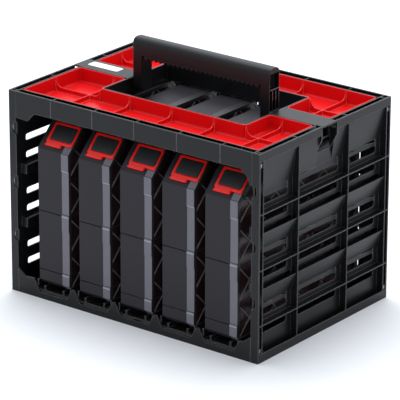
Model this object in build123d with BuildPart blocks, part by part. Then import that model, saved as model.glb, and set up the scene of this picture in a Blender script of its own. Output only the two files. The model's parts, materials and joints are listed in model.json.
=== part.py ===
"""Carrying cabinet for five upright organiser cases, with two lift-out trays and a folding handle."""
import os

from build123d import *

# The cabinet stands on Z = 0 with its front at -Y. All sizes are in millimetres.

# Organiser case
CASE_COUNT = 5
case_depth = 268.0
case_height = 240.0
body_thickness = 40.5
lid_thickness = 12.5
case_wall = 2.0
top_bevel = 46.0
foot_bevel = 7.0
case_gap = 17.0
rim_bead = 1.0
rim_bead_spans = [(0.0, 24.0), (85.0, 108.5), (169.5, 194.0)]
face_recess = 1.2
lattice_pitch = 53.0
lattice_rib = 1.8
lattice_border = 5.0
front_step_heights = [21.5, 105.5]
step_depth = 0.5

# Bins inside a case
bin_wall = 1.2
bin_gap = 0.8
bin_depth = 43.0
bin_corner = 2.0

# Lid hinge along the foot of a case
knuckle_radius = 3.0
knuckle_length = 20.0
hinge_pin_radius = 1.5
hinge_inset = 38.0
part_gap = 0.3
running_gap = 0.05

# Latches on the two top bevels
latch_length = 31.0
latch_start = 10.6
latch_inset = 9.5
latch_thickness = 3.2
latch_gap = 0.3
hook_thickness = 2.4
hook_reach = 8.0
lip_width = 24.4
lip_drop = 5.0
lip_height = 2.4
pad_length = 22.6
pad_width = 37.0
pad_side = 4.4
pad_end = 4.0
pad_rise = 0.8
pad_sink = 1.8
latch_pin_radius = 1.2
latch_knuckle_radius = 2.4
lug_length = 3.0

# Room around the row of cases
row_offset = 5.0
row_margin = 29.0
front_recess = 4.0
rear_room = 18.0
case_floor = 19.5
deck_room = 2.0
slide_gap = 0.6
glide_gap = 0.5

# Moulded walls of the cabinet
side_depth = 12.0
skin = 2.0
edge = 2.5
fit_gap = 0.2
flange_height = 12.0
web = 2.0
rib = 1.8
row_rib = 1.6
row_count = 3
row_pitch = 76.2
first_row = 50.8
post_inset = 9.0
rib_stations = [-60.0, 50.0]
slot_inset = 11.0
slot_height = 9.0
slot_radius = 3.0
upper_slot = 8.0
lower_slot = -16.5
lip_rise = 9.5
lip_sink = 1.0
shelf_drop = 34.5
shelf_height = 12.7
shelf_depth = 10.0
post_bulge = 7.0
post_bulge_height = 16.0
post_bulge_rise = 31.0

# Hook notches below the ends of the bridge bars
notch_depth = 38.0
gusset = 1.8

# Deck, header and well
deck = 2.5
deck_height = 24.5
header_drop = 1.0
middle_y = 6.0
bar_width = 34.0
bar_thickness = 2.5
bar_web = 2.0
collar = 2.0
seam_width = 0.6
seam_depth = 0.4
gusset_reach = 32.0
gusset_drop = 12.5
guide_height = 9.0
guide_thickness = 6.0

# Trays
tray_wall = 1.8
tray_floor = 1.8
groove = 11.0
rim_step = 0.5
pocket_wall = 1.2
tray_clearance = 0.3
ridge_height = 6.5
ridge_thickness = 2.4
ridge_rise = 11.0
tie_thickness = 1.2

# Handle
handle_span = 226.6
handle_side_gap = 3.7
handle_fold_gap = 2.0
handle_width = 22.5
handle_top = 66.0
handle_foot = 8.5
arm_width = 15.0
grip_height = 23.5
grip_round = 8.0
pivot_drop = 9.0
pivot_radius = 4.0
pivot_grip = 9.0
boss_wall = 2.0
boss_length = 8.0
end_pocket = 8.0
end_rim = 1.8
finger_count = 24
finger_pitch = 7.6
finger_radius = 2.4
pad_height = 5.0
grip_pad_inset = 2.5

# Base
floor_top = 12.5
floor_thickness = 2.5
sill_top = 26.0
sill_thickness = 3.0
scoop_floor = 9.0
scoop_slope = 10.0
scoop_margin = 2.5
runner_offset = 16.0
runner_width = 3.0
stop_height = 26.0
stop_gap = 1.0
keel_count = 3
keel_pitch = 100.0

# Back panel
window_width = 33.0
window_margin = 8.0
window_radius = 5.0

# Screws
screw_radius = 1.5
screw_length = 16.0
screw_head_radius = 2.5
screw_head = 1.6
screw_play = 0.2
boss_radius = 3.4
boss_inset = 5.8
boss_recess = 1.0
head_recess = 0.6
lug_radius = 3.2
lug_depth = 10.0
top_boss_drop = 17.0
low_boss = 16.0
back_screw_inset = 10.0

# Sizes that follow from the ones above
case_thickness = body_thickness + lid_thickness
case_pitch = case_thickness + case_gap
row_width = (CASE_COUNT - 1) * case_pitch + case_thickness
half_width = row_width / 2 + row_margin + side_depth
half_depth = (front_recess + case_depth + rear_room) / 2
case_front = -half_depth + front_recess
case_top = case_floor + case_height
deck_bottom = case_top + deck_room
rim = deck_bottom + deck_height
deck_top = deck_bottom + deck
header_bottom = deck_bottom - header_drop
inner_x = half_width - side_depth
skin_x = inner_x + skin
shell_x = inner_x - fit_gap
shell_y = half_depth - edge
case_x = [row_offset + (n - (CASE_COUNT - 1) / 2) * case_pitch for n in range(CASE_COUNT)]
row_heights = [first_row + n * row_pitch for n in range(row_count)]
tray_x = inner_x - 1.0
tray_y = shell_y - groove
tray_top = rim - rim_step
tie_top = rim - 2 * rim_step
tray_base = deck_top + fit_gap
well_half_x = handle_span / 2 + handle_side_gap
well_half_y = handle_top + handle_fold_gap
pivot_z = rim - pivot_drop
split_x = body_thickness - case_thickness / 2
back_x = -case_thickness / 2
face_x = case_thickness / 2
hinge_z = knuckle_radius
ridge_bend = ridge_rise * (1 - 0.5 ** 0.5)
post_y = half_depth - post_inset
boss_y = half_depth - boss_inset

# The row frame of a bevel: X across the case, local Y up the slope, local Z outwards
front_bevel = Plane(origin=(0, 0, case_height - top_bevel), x_dir=(1, 0, 0), z_dir=(0, -1, 1))
rear_bevel = Plane(origin=(0, case_depth, case_height - top_bevel), x_dir=(-1, 0, 0), z_dir=(0, 1, 1))


def block(x, y, z, mode=Mode.ADD):
    """Add a box that runs between two values along each axis."""
    with Locations(((x[0] + x[1]) / 2, (y[0] + y[1]) / 2, (z[0] + z[1]) / 2)):
        Box(x[1] - x[0], y[1] - y[0], z[1] - z[0], mode=mode)


def rod(point, radius, length, direction, mode=Mode.ADD):
    """Add a cylinder that starts at a point and runs along a direction."""
    with Locations(Plane(origin=point, z_dir=direction)):
        Cylinder(radius, length, align=(Align.CENTER, Align.CENTER, Align.MIN), mode=mode)


def case_outline(inset=0.0):
    """Draw the side view of a case in the YZ plane, drawn in by an inset."""
    low, high = inset, case_height - inset
    near, far = inset, case_depth - inset
    bevel = top_bevel - inset * (2 - 2 ** 0.5)
    foot = max(foot_bevel - inset * (2 - 2 ** 0.5), 1.0)
    Polygon(
        (near + foot, low), (far - foot, low), (far, low + foot), (far, high - bevel),
        (far - bevel, high), (near + bevel, high), (near, high - bevel), (near, low + foot),
        align=None,
    )


def knuckles(radius, owner, mode=Mode.ADD):
    """Add the hinge knuckles of one owner, 0 for the outer pair and 1 for the middle one."""
    step = knuckle_length + part_gap
    for start in (hinge_inset, case_depth - hinge_inset - 2 * step - knuckle_length):
        for n in range(3):
            if n % 2 == owner:
                grow = part_gap if mode == Mode.SUBTRACT else 0.0
                rod((split_x, start + n * step - grow, hinge_z), radius + grow,
                    knuckle_length + 2 * grow, (0, 1, 0), mode)


# Body of a case: a bevelled tray that opens towards the lid
with BuildPart() as case_body:
    with BuildSketch(Plane.YZ.offset(back_x)):
        case_outline()
    extrude(amount=body_thickness)
    with BuildSketch(Plane.YZ.offset(back_x + case_wall)):
        case_outline(case_wall)
    extrude(amount=body_thickness, mode=Mode.SUBTRACT)
    for height in front_step_heights:
        block((back_x, split_x), (0, step_depth), (height, height + 1.0), Mode.SUBTRACT)
    knuckles(knuckle_radius, 0)
    knuckles(knuckle_radius, 1, Mode.SUBTRACT)
    for n in (hinge_inset, case_depth - hinge_inset - 3 * knuckle_length - 2 * part_gap):
        rod((split_x, n, hinge_z), hinge_pin_radius, 3 * knuckle_length + 2 * part_gap,
            (0, 1, 0), Mode.SUBTRACT)
    for bevel, side in ((front_bevel, 1), (rear_bevel, -1)):
        for slope in (latch_start - lug_length - part_gap, latch_start + latch_length + part_gap):
            with BuildSketch(Plane(bevel.from_local_coords((side * (back_x + latch_inset), slope, 0)),
                                   x_dir=bevel.x_dir, z_dir=bevel.y_dir)):
                with Locations((0, -latch_knuckle_radius)):
                    Circle(latch_knuckle_radius)
                with Locations((0, -latch_knuckle_radius / 2)):
                    Rectangle(2 * latch_knuckle_radius, latch_knuckle_radius)
                with Locations((0, -latch_knuckle_radius)):
                    Circle(latch_pin_radius, mode=Mode.SUBTRACT)
            extrude(amount=lug_length)

# Lid of a case: a shallow cover with a recessed face and a lattice of ribs
with BuildPart() as case_lid:
    with BuildSketch(Plane.YZ.offset(split_x)):
        case_outline()
    extrude(amount=lid_thickness)
    with BuildSketch(Plane.YZ.offset(split_x)):
        case_outline(case_wall)
    extrude(amount=lid_thickness - case_wall - face_recess, mode=Mode.SUBTRACT)
    with BuildSketch(Plane.YZ.offset(face_x - face_recess)):
        case_outline(lattice_border)
        cells = [
            Location(((cell + 0.5) * lattice_pitch, (row + 0.5) * lattice_pitch, 0), (0, 0, turn))
            for row in range(int(case_height / lattice_pitch) + 1)
            for cell in range(int(case_depth / lattice_pitch) + 1)
            for turn in (45, -45)
        ]
        with Locations(*cells):
            Rectangle(lattice_pitch * 1.2, lattice_rib, mode=Mode.SUBTRACT)
    extrude(amount=face_recess, mode=Mode.SUBTRACT)
    knuckles(knuckle_radius, 1)
    knuckles(knuckle_radius, 0, Mode.SUBTRACT)
    for n in (hinge_inset, case_depth - hinge_inset - 3 * knuckle_length - 2 * part_gap):
        rod((split_x, n, hinge_z), hinge_pin_radius + running_gap, 3 * knuckle_length + 2 * part_gap,
            (0, 1, 0), Mode.SUBTRACT)
    for low, high in rim_bead_spans:
        block((face_x - lid_thickness, face_x), (-rim_bead, 0), (max(low, foot_bevel), high))

# The two hinge pins of a case
with BuildPart() as case_hinge_pins:
    for n in (hinge_inset, case_depth - hinge_inset - 3 * knuckle_length - 2 * part_gap):
        rod((split_x, n, hinge_z), hinge_pin_radius, 3 * knuckle_length + 2 * part_gap, (0, 1, 0))


def latch_block(bevel, side, x, slope, out, mode=Mode.ADD):
    """Add a box on a bevel: across the case, up the slope and outwards."""
    middle = bevel.from_local_coords((side * (x[0] + x[1]) / 2, (slope[0] + slope[1]) / 2, out[0]))
    with Locations(Plane(middle, x_dir=bevel.x_dir, z_dir=bevel.z_dir)):
        Box(x[1] - x[0], slope[1] - slope[0], out[1] - out[0],
            align=(Align.CENTER, Align.CENTER, Align.MIN), mode=mode)


latch_left = back_x + latch_inset
latch_right = face_x + hook_thickness + latch_gap
latch_end = latch_start + latch_length
lip_left = latch_left + latch_knuckle_radius + 2 * part_gap
latch_top = latch_gap + latch_thickness
pad_x = (latch_left + pad_side, latch_left + pad_side + pad_width)
pad_slope = (latch_end - pad_end - pad_length, latch_end - pad_end)


def build_latch(bevel, side):
    """Build one red latch frame on a bevel, with its knuckle, hook and lower lip."""
    with BuildPart() as latch:
        latch_block(bevel, side, (latch_left, latch_right), (latch_start, latch_end),
                    (latch_gap, latch_top))
        latch_block(bevel, side, pad_x, pad_slope, (latch_top - pad_sink, latch_top), Mode.SUBTRACT)
        latch_block(bevel, side, (face_x + latch_gap, latch_right), (latch_start, latch_end),
                    (-hook_reach, latch_top))
        latch_block(bevel, side, (lip_left, lip_left + lip_width),
                    (latch_start - lip_drop, latch_start), (latch_gap, latch_gap + lip_height))
        axis_point = bevel.from_local_coords((side * latch_left, latch_start, latch_knuckle_radius))
        rod(axis_point, latch_knuckle_radius - 0.15, latch_length, bevel.y_dir)
        rod(axis_point, latch_pin_radius + running_gap, latch_length, bevel.y_dir, Mode.SUBTRACT)
    return latch.part


def build_pad(bevel, side):
    """Build the black thumb pad that sits in a latch frame."""
    with BuildPart() as pad:
        latch_block(bevel, side, (pad_x[0] + fit_gap, pad_x[1] - fit_gap),
                    (pad_slope[0] + fit_gap, pad_slope[1] - fit_gap),
                    (latch_top - pad_sink, latch_top + pad_rise))
        fillet(pad.edges().group_by(SortBy.LENGTH)[0], radius=0.6)
    return pad.part


front_latch = build_latch(front_bevel, 1)
rear_latch = build_latch(rear_bevel, -1)
front_latch_pad = build_pad(front_bevel, 1)
rear_latch_pad = build_pad(rear_bevel, -1)

# The two latch pins of a case
with BuildPart() as case_latch_pins:
    for bevel, side in ((front_bevel, 1), (rear_bevel, -1)):
        start = latch_start - lug_length - part_gap
        rod(bevel.from_local_coords((side * latch_left, start, latch_knuckle_radius)), latch_pin_radius,
            latch_length + 2 * lug_length + 2 * part_gap, bevel.y_dir)

# Four open bins that fill a case
bin_left = back_x + case_wall + bin_gap / 2
bin_low = hinge_z + knuckle_radius + bin_gap
bin_high = case_height - case_wall - bin_gap
bin_near = case_wall + bin_gap
bin_mid_y = case_depth / 2
bin_mid_z = (bin_low + bin_high) / 2


def bin_outline(inset, upper):
    """Draw one near bin in the YZ plane, an upper one with the bevel of the case."""
    low = (bin_mid_z + bin_gap / 2 if upper else bin_low) + inset
    high = (bin_high if upper else bin_mid_z - bin_gap / 2) - inset
    near = bin_near + inset
    far = bin_mid_y - bin_gap / 2 - inset
    bevel = top_bevel if upper else bin_corner
    Polygon(
        (near + bin_corner, low), (far, low), (far, high), (near + bevel, high), (near, high - bevel),
        (near, low + bin_corner), align=None,
    )


with BuildPart() as case_bins:
    for upper in (False, True):
        with BuildSketch(Plane.YZ.offset(bin_left)):
            bin_outline(0.0, upper)
        extrude(amount=bin_depth)
        with BuildSketch(Plane.YZ.offset(bin_left + bin_wall)):
            bin_outline(bin_wall, upper)
        extrude(amount=bin_depth, mode=Mode.SUBTRACT)
    mirror(about=Plane.XZ.offset(-bin_mid_y))

# Right side panel: a ribbed skin with a post, flanges, slots and a hook notch
notch_y = (middle_y - bar_width / 2, middle_y + bar_width / 2)
bay_edges = [-post_y] + rib_stations + [post_y]
bays = list(zip(bay_edges[:-1], bay_edges[1:]))
boss_face = half_width - boss_recess
head_seat = boss_face - head_recess - screw_head

with BuildPart() as right_side_panel:
    block((inner_x, skin_x), (-shell_y, shell_y), (0, rim - rim_step))
    with BuildSketch(Plane.XZ.offset(shell_y)):
        with Locations((half_width - side_depth / 2, rim / 2)):
            Rectangle(side_depth, rim)
        with Locations(*[(inner_x, height + post_bulge_rise) for height in row_heights]):
            RectangleRounded(2 * post_bulge, post_bulge_height, post_bulge - 1.0, mode=Mode.SUBTRACT)
    extrude(amount=edge)
    block((inner_x, half_width), (shell_y, half_depth), (0, rim))
    block((inner_x, half_width), (-shell_y, shell_y), (rim - flange_height, rim - flange_height + web))
    block((half_width - edge, half_width), (-shell_y, shell_y), (rim - flange_height, rim))
    block((inner_x, half_width), (-shell_y, shell_y), (0, web))
    block((half_width - edge, half_width), (-shell_y, shell_y), (0, flange_height))
    with Locations(*[((skin_x + half_width) / 2, station, tie_top / 2) for station in bay_edges]):
        Box(half_width - skin_x, rib, tie_top)
    with Locations(*[((skin_x + half_width) / 2, 0, height) for height in row_heights]):
        Box(half_width - skin_x, 2 * shell_y, row_rib)
    shelves = [height - shelf_drop + shelf_height / 2 for height in row_heights[1:]]
    with Locations(*[(inner_x - shelf_depth / 2, 0, middle) for middle in shelves]):
        Box(shelf_depth, 2 * post_y, shelf_height)
    for near, far in bays:
        with Locations(*[(inner_x - shelf_depth / 2 + skin, (near + far) / 2, middle)
                         for middle in shelves]):
            Box(shelf_depth, far - near - 2 * rib, shelf_height - 2 * skin, mode=Mode.SUBTRACT)
    with BuildSketch(Plane.YZ.offset(inner_x)):
        for near, far in bays:
            with Locations(*[((near + far) / 2, height + base + slot_height / 2)
                             for height in row_heights for base in (upper_slot, lower_slot)]):
                RectangleRounded(far - near - 2 * slot_inset, slot_height, slot_radius)
    extrude(amount=skin, mode=Mode.SUBTRACT)
    with BuildSketch(Plane.YZ.offset(skin_x - lip_sink)):
        for near, far in bays:
            with Locations(*[((near + far) / 2, height + upper_slot + (lip_rise + slot_height) / 2)
                             for height in row_heights]):
                RectangleRounded(far - near - 2 * slot_inset, lip_rise + slot_height, slot_radius)
    extrude(amount=lip_sink, mode=Mode.SUBTRACT)
    for end in notch_y:
        with BuildSketch(Plane.XZ.offset(-end - gusset / 2)):
            with BuildLine():
                Polyline(
                    (inner_x, rim - flange_height), (half_width, rim - flange_height),
                    (half_width, rim - notch_depth / 2), (skin_x, rim - notch_depth),
                    (inner_x, rim - notch_depth), close=True,
                )
            make_face()
        extrude(amount=gusset)
    block((inner_x - 1, half_width + 1), (notch_y[0] + gusset / 2, notch_y[1] - gusset / 2),
          (rim - notch_depth, rim + 1), Mode.SUBTRACT)
    for side in (-1, 1):
        for height in (low_boss, rim - top_boss_drop):
            rod((skin_x, side * boss_y, height), boss_radius, boss_face - skin_x, (1, 0, 0))
            rod((inner_x, side * boss_y, height), screw_radius + screw_play, side_depth, (1, 0, 0),
                Mode.SUBTRACT)
            rod((head_seat, side * boss_y, height), screw_head_radius + screw_play,
                half_width - head_seat, (1, 0, 0), Mode.SUBTRACT)

with BuildPart() as left_side_panel:
    mirror(right_side_panel.part, about=Plane.YZ)

# Front header: a band over the open front with a gusset at each end
with BuildPart() as front_header:
    left, right = -shell_x, shell_x
    with BuildSketch(Plane.XZ.offset(shell_y)):
        with Locations((0, (rim + header_bottom) / 2)):
            Rectangle(2 * shell_x, rim - header_bottom)
        with BuildLine():
            Polyline(
                (left, header_bottom), (left + gusset_reach, header_bottom),
                (left + gusset_reach - 9.0, header_bottom - 9.0),
                (left + gusset_reach - 12.0, header_bottom - gusset_drop),
                (left, header_bottom - gusset_drop + 1.0), close=True,
            )
        make_face()
        with BuildLine():
            Polyline(
                (right, header_bottom), (right - 18.5, header_bottom), (right - 6.0, header_bottom - 10.5),
                (right - 4.0, header_bottom - 19.0), (right, header_bottom - 19.0), close=True,
            )
        make_face()
    extrude(amount=edge)
    with Locations(*[(x, seam_depth / 2 - half_depth, (header_bottom + rim) / 2) for x in case_x]):
        Box(seam_width, seam_depth, rim - header_bottom, mode=Mode.SUBTRACT)

# Two bridge bars, each with the bore of a handle pivot
well_x = (row_offset - well_half_x, row_offset + well_half_x)
well_y = (middle_y - well_half_y, middle_y + well_half_y)

with BuildPart() as bridge_bars:
    for side in (-1, 1):
        inner = well_x[0] - collar if side < 0 else well_x[1] + collar
        span = sorted((inner, side * half_width))
        short = sorted((inner, side * shell_x))
        wide = (middle_y - bar_width / 2 + gusset, middle_y + bar_width / 2 - gusset)
        block(span, wide, (rim - bar_thickness, rim))
        block(short, (middle_y - bar_width / 2, middle_y + bar_width / 2), (rim - bar_thickness, rim))
        for end in (-1, 1):
            face = middle_y + end * bar_width / 2
            block(short, sorted((face, face - end * bar_web)), (deck_top, rim))
        block(sorted((inner, inner + side * web)),
              (middle_y - bar_width / 2, middle_y + bar_width / 2), (deck_top, rim))
        rod((inner, middle_y, pivot_z), pivot_radius + boss_wall, boss_length, (side, 0, 0))
        rod((inner, middle_y, pivot_z), pivot_radius, boss_length, (side, 0, 0), Mode.SUBTRACT)

# Top deck: plate, rear band, well collar and pocket walls
with BuildPart() as top_deck:
    block((-shell_x, shell_x), (-shell_y, shell_y), (deck_bottom, deck_top))
    block((-shell_x, shell_x), (shell_y, half_depth), (deck_bottom, rim))
    block((well_x[0] - collar, well_x[1] + collar), (well_y[0] - collar, well_y[1] + collar),
          (deck_bottom, tray_top))
    block(well_x, well_y, (deck_bottom, rim), Mode.SUBTRACT)
    for side in (-1, 1):
        wall = well_x[0] if side < 0 else well_x[1]
        rod((wall, middle_y, pivot_z), pivot_radius, boss_length, (side, 0, 0), Mode.SUBTRACT)
    pocket = tray_y + tray_clearance
    for side in (-1, 1):
        block((-shell_x, shell_x), sorted((side * pocket, side * (pocket + pocket_wall))),
              (deck_bottom, tray_top))
    tie_reach = shell_y - pocket - pocket_wall
    with Locations(*[(x, end * (shell_y - tie_reach / 2), (deck_top + tie_top) / 2)
                     for x in case_x for end in (-1, 1)]):
        Box(tie_thickness, tie_reach, tie_top - deck_top)
    for side in (-1, 1):
        for end in (-1, 1):
            lug_x = sorted((side * shell_x, side * (shell_x - lug_depth)))
            block(lug_x, (end * boss_y - lug_radius, end * boss_y + lug_radius),
                  (deck_top, rim - top_boss_drop))
            rod((side * shell_x, end * boss_y, rim - top_boss_drop), lug_radius, lug_depth, (-side, 0, 0))
            rod((side * shell_x, end * boss_y, rim - top_boss_drop), screw_radius, lug_depth,
                (-side, 0, 0), Mode.SUBTRACT)
        rear_x = side * (shell_x - back_screw_inset)
        block((rear_x - lug_radius, rear_x + lug_radius), (shell_y - lug_depth, shell_y),
              (deck_bottom - 2 * lug_radius, deck_bottom))
        rod((rear_x, shell_y, deck_bottom - lug_radius), screw_radius, lug_depth, (0, -1, 0),
            Mode.SUBTRACT)

# Guides under the deck, between the tops of the cases
guide_drop = case_thickness / 2 + slide_gap + guide_thickness / 2
guide_spans = [(case_front + top_bevel, well_y[0]), (well_y[1], case_front + case_depth)]
with BuildPart() as deck_guides:
    for x in case_x[1:]:
        for span in guide_spans:
            block((x - guide_drop - guide_thickness / 2, x - guide_drop + guide_thickness / 2), span,
                  (deck_bottom - guide_height, deck_bottom))

# Trays: U-shaped troughs round the well, each with ridges between its compartments
tray_in_x = (well_x[0] - collar - tray_clearance, well_x[1] + collar + tray_clearance)


def tray_outline(inset, near, far, well):
    """Draw a tray in plan, drawn in by an inset, open towards the well."""
    sign = 1 if far > near else -1
    step = sign * inset
    Polygon(
        (-tray_x + inset, near + step), (tray_x - inset, near + step), (tray_x - inset, far - step),
        (tray_in_x[1] + inset, far - step), (tray_in_x[1] + inset, well - step),
        (tray_in_x[0] - inset, well - step), (tray_in_x[0] - inset, far - step),
        (-tray_x + inset, far - step), align=None,
    )


def ridge(start, end):
    """Add a low divider between two points, rising in a curve to the rim at both walls."""
    length = ((end[0] - start[0]) ** 2 + (end[1] - start[1]) ** 2) ** 0.5
    along = (end[0] - start[0], end[1] - start[1], 0)
    middle = ((start[0] + end[0]) / 2, (start[1] + end[1]) / 2, tray_base + tray_floor)
    low = ridge_height
    tall = low + ridge_rise
    with BuildSketch(Plane(middle, x_dir=along, z_dir=(along[1], -along[0], 0)),
                     mode=Mode.PRIVATE) as profile:
        with BuildLine():
            Line((-length / 2, 0), (length / 2, 0))
            Line((length / 2, 0), (length / 2, tall))
            ThreePointArc((length / 2, tall), (length / 2 - ridge_bend, low + ridge_bend),
                          (length / 2 - ridge_rise, low))
            Line((length / 2 - ridge_rise, low), (ridge_rise - length / 2, low))
            ThreePointArc((ridge_rise - length / 2, low), (ridge_bend - length / 2, low + ridge_bend),
                          (-length / 2, tall))
            Line((-length / 2, tall), (-length / 2, 0))
        make_face()
    extrude(profile.sketch, amount=ridge_thickness / 2, both=True)


def build_tray(near, far, well):
    """Build one tray from its outer edge, its edge at the bridge bars and its edge at the well."""
    sign = 1 if far > near else -1
    with BuildPart() as tray:
        with BuildSketch(Plane.XY.offset(tray_base)):
            tray_outline(0.0, near, far, well)
        extrude(amount=tray_top - tray_base)
        with BuildSketch(Plane.XY.offset(tray_base + tray_floor)):
            tray_outline(tray_wall, near, far, well)
        extrude(amount=tray_top - tray_base, mode=Mode.SUBTRACT)
        inner_near = near + sign * tray_wall
        for x in case_x:
            end = far if x < tray_in_x[0] or x > tray_in_x[1] else well
            ridge((x, inner_near), (x, end - sign * tray_wall))
        for side, wall in ((-1, tray_in_x[0]), (1, tray_in_x[1])):
            outer = side * (tray_x - tray_wall)
            span = sorted((outer, wall + side * tray_wall))
            ridge((span[0], well), (span[1], well))
    return tray.part


bar_y = (middle_y - bar_width / 2 - tray_clearance, middle_y + bar_width / 2 + tray_clearance)
front_tray = build_tray(-tray_y, bar_y[0], well_y[0] - collar - tray_clearance)
rear_tray = build_tray(tray_y, bar_y[1], well_y[1] + collar + tray_clearance)

# Handle: a portal that folds both ways about its pivot pins
handle_x = (row_offset - handle_span / 2, row_offset + handle_span / 2)
handle_z = (pivot_z - handle_foot, pivot_z + handle_top)
handle_y = (middle_y - handle_width / 2, middle_y + handle_width / 2)
grip_z = handle_z[1] - grip_height

with BuildPart() as handle_bar:
    block(handle_x, handle_y, handle_z)
    block((handle_x[0] + arm_width, handle_x[1] - arm_width), (handle_y[0] - 1, handle_y[1] + 1),
          (handle_z[0] - 1, grip_z), Mode.SUBTRACT)
    fillet(handle_bar.edges().filter_by(Axis.X).group_by(Axis.Z)[-1], radius=grip_round)
    fillet(handle_bar.edges().filter_by(Axis.X).group_by(Axis.Z)[0], radius=handle_foot - 1.0)
    for side in (-1, 1):
        outer = handle_x[0] if side < 0 else handle_x[1]
        pocket = sorted((outer, outer - side * end_pocket))
        block(pocket, (handle_y[0] + end_rim, handle_y[1] - end_rim),
              (pivot_z + pivot_radius + 2 * boss_wall, handle_z[1] - grip_round), Mode.SUBTRACT)
        for n in (-1, 1):
            block(pocket, (middle_y + n * 3.5 - 0.6, middle_y + n * 3.5 + 0.6),
                  (pivot_z + pivot_radius, grip_z - pad_height))
        block(pocket, handle_y, (grip_z - pad_height - 1.2, grip_z - pad_height))
        rod((outer, middle_y, pivot_z), pivot_radius + running_gap, pivot_grip + running_gap,
            (-side, 0, 0), Mode.SUBTRACT)

# Soft finger grip below the handle bar
pad_half = handle_span / 2 - arm_width - grip_pad_inset
with BuildPart() as handle_grip_pad:
    block((row_offset - pad_half, row_offset + pad_half), (handle_y[0] + 1.0, handle_y[1] - 1.0),
          (grip_z - pad_height, grip_z))
    with BuildSketch(Plane.XZ.offset(-handle_y[1])):
        for n in range(finger_count):
            with Locations((row_offset + (n - (finger_count - 1) / 2) * finger_pitch, grip_z - pad_height)):
                Circle(finger_radius)
    extrude(amount=handle_width, mode=Mode.SUBTRACT)

# The two pivot pins of the handle
with BuildPart() as handle_pivots:
    for side in (-1, 1):
        wall = well_x[0] if side < 0 else well_x[1]
        start = wall - side * (handle_side_gap + pivot_grip)
        rod((start, middle_y, pivot_z), pivot_radius, handle_side_gap + pivot_grip + boss_length,
            (side, 0, 0))

# Base: floor, sill with a scoop below each case, runners and guides
case_rear = case_front + case_depth
sill_fillet = 9.0
with BuildPart() as base_panel:
    block((-shell_x, shell_x), (-shell_y, shell_y), (floor_top - floor_thickness, floor_top))
    with BuildSketch(Plane.XZ.offset(half_depth - sill_thickness)):
        with Locations((0, sill_top / 2)):
            Rectangle(2 * shell_x, sill_top)
        for side in (-1, 1):
            with BuildLine():
                Polyline(
                    (side * shell_x, sill_top), (side * shell_x, sill_top + sill_fillet),
                    (side * (shell_x - sill_fillet - 3.0), sill_top), close=True,
                )
            make_face()
        for x in case_x:
            low = case_thickness / 2 + scoop_margin - scoop_slope * (case_floor - scoop_floor) / (
                sill_top - scoop_floor)
            with BuildLine():
                Polyline(
                    (x - low, scoop_floor), (x + low, scoop_floor),
                    (x + low + scoop_slope, sill_top), (x - low - scoop_slope, sill_top), close=True,
                )
            make_face(mode=Mode.SUBTRACT)
    extrude(amount=sill_thickness)
    block((-shell_x, shell_x), (shell_y - web, shell_y), (0, floor_top))
    with Locations(*[((n - (keel_count - 1) / 2) * keel_pitch, 0, (floor_top - floor_thickness) / 2)
                     for n in range(keel_count)]):
        Box(web, 2 * shell_y, floor_top - floor_thickness)
    runner_top = case_floor - glide_gap
    runner_reach = case_rear + shell_y
    with Locations(*[(x + side * runner_offset, runner_reach / 2 - shell_y, (floor_top + runner_top) / 2)
                     for x in case_x for side in (-1, 1)]):
        Box(runner_width, runner_reach, runner_top - floor_top)
    wall_offset = case_thickness / 2 + slide_gap + web / 2
    with Locations(*[(x + side * wall_offset, runner_reach / 2 - shell_y, (floor_top + sill_top) / 2)
                     for x in case_x for side in (-1, 1)]):
        Box(web, runner_reach, sill_top - floor_top)
    with Locations(*[(x, case_rear + stop_gap + web / 2, floor_top + stop_height / 2) for x in case_x]):
        Box(2 * runner_offset, web, stop_height)
    for side in (-1, 1):
        for end in (-1, 1):
            lug_x = sorted((side * shell_x, side * (shell_x - lug_depth)))
            block(lug_x, (end * boss_y - lug_radius, end * boss_y + lug_radius), (floor_top, low_boss))
            rod((side * shell_x, end * boss_y, low_boss), lug_radius, lug_depth, (-side, 0, 0))
            rod((side * shell_x, end * boss_y, low_boss), screw_radius, lug_depth, (-side, 0, 0),
                Mode.SUBTRACT)
        rear_x = side * (shell_x - 2 * back_screw_inset)
        block((rear_x - lug_radius, rear_x + lug_radius), (shell_y - lug_depth, shell_y),
              (floor_top, floor_top + 2 * lug_radius))
        rod((rear_x, shell_y, floor_top + lug_radius), screw_radius, lug_depth, (0, -1, 0),
            Mode.SUBTRACT)

# Back panel: a plate with a window behind each case in every row
back_top = deck_bottom - fit_gap
back_screws_at = []
for side in (-1, 1):
    back_screws_at.append((side * (shell_x - back_screw_inset), deck_bottom - lug_radius))
    back_screws_at.append((side * (shell_x - 2 * back_screw_inset), floor_top + lug_radius))

with BuildPart() as back_panel:
    block((-shell_x, shell_x), (shell_y, half_depth), (0, back_top))
    with BuildSketch(Plane.XZ.offset(-half_depth)):
        for height in row_heights:
            low = height - row_pitch / 2 + window_margin + sill_top / 2
            high = low + row_pitch - 2 * window_margin
            for x in case_x:
                with Locations((x, (low + high) / 2)):
                    RectangleRounded(window_width, high - low, window_radius)
    extrude(amount=edge, mode=Mode.SUBTRACT)
    with Locations(*[Location((x, half_depth, z), (-90, 0, 0)) for x, z in back_screws_at]):
        CounterBoreHole(screw_radius + screw_play, screw_head_radius + screw_play, screw_head, edge)

# Screws that hold the side panels and the back panel to the deck and the base
with BuildPart() as panel_screws:
    for side in (-1, 1):
        for height in (low_boss, rim - top_boss_drop):
            rod((head_seat - screw_length, side * boss_y, height), screw_radius, screw_length, (1, 0, 0))
            rod((head_seat, side * boss_y, height), screw_head_radius, screw_head, (1, 0, 0))
    mirror(about=Plane.YZ)
    for x, z in back_screws_at:
        seat = half_depth - screw_head
        rod((x, seat, z), screw_radius, lug_depth, (0, -1, 0))
        rod((x, seat, z), screw_head_radius, screw_head, (0, 1, 0))

# Write every piece to its own file
os.makedirs("parts", exist_ok=True)

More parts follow.
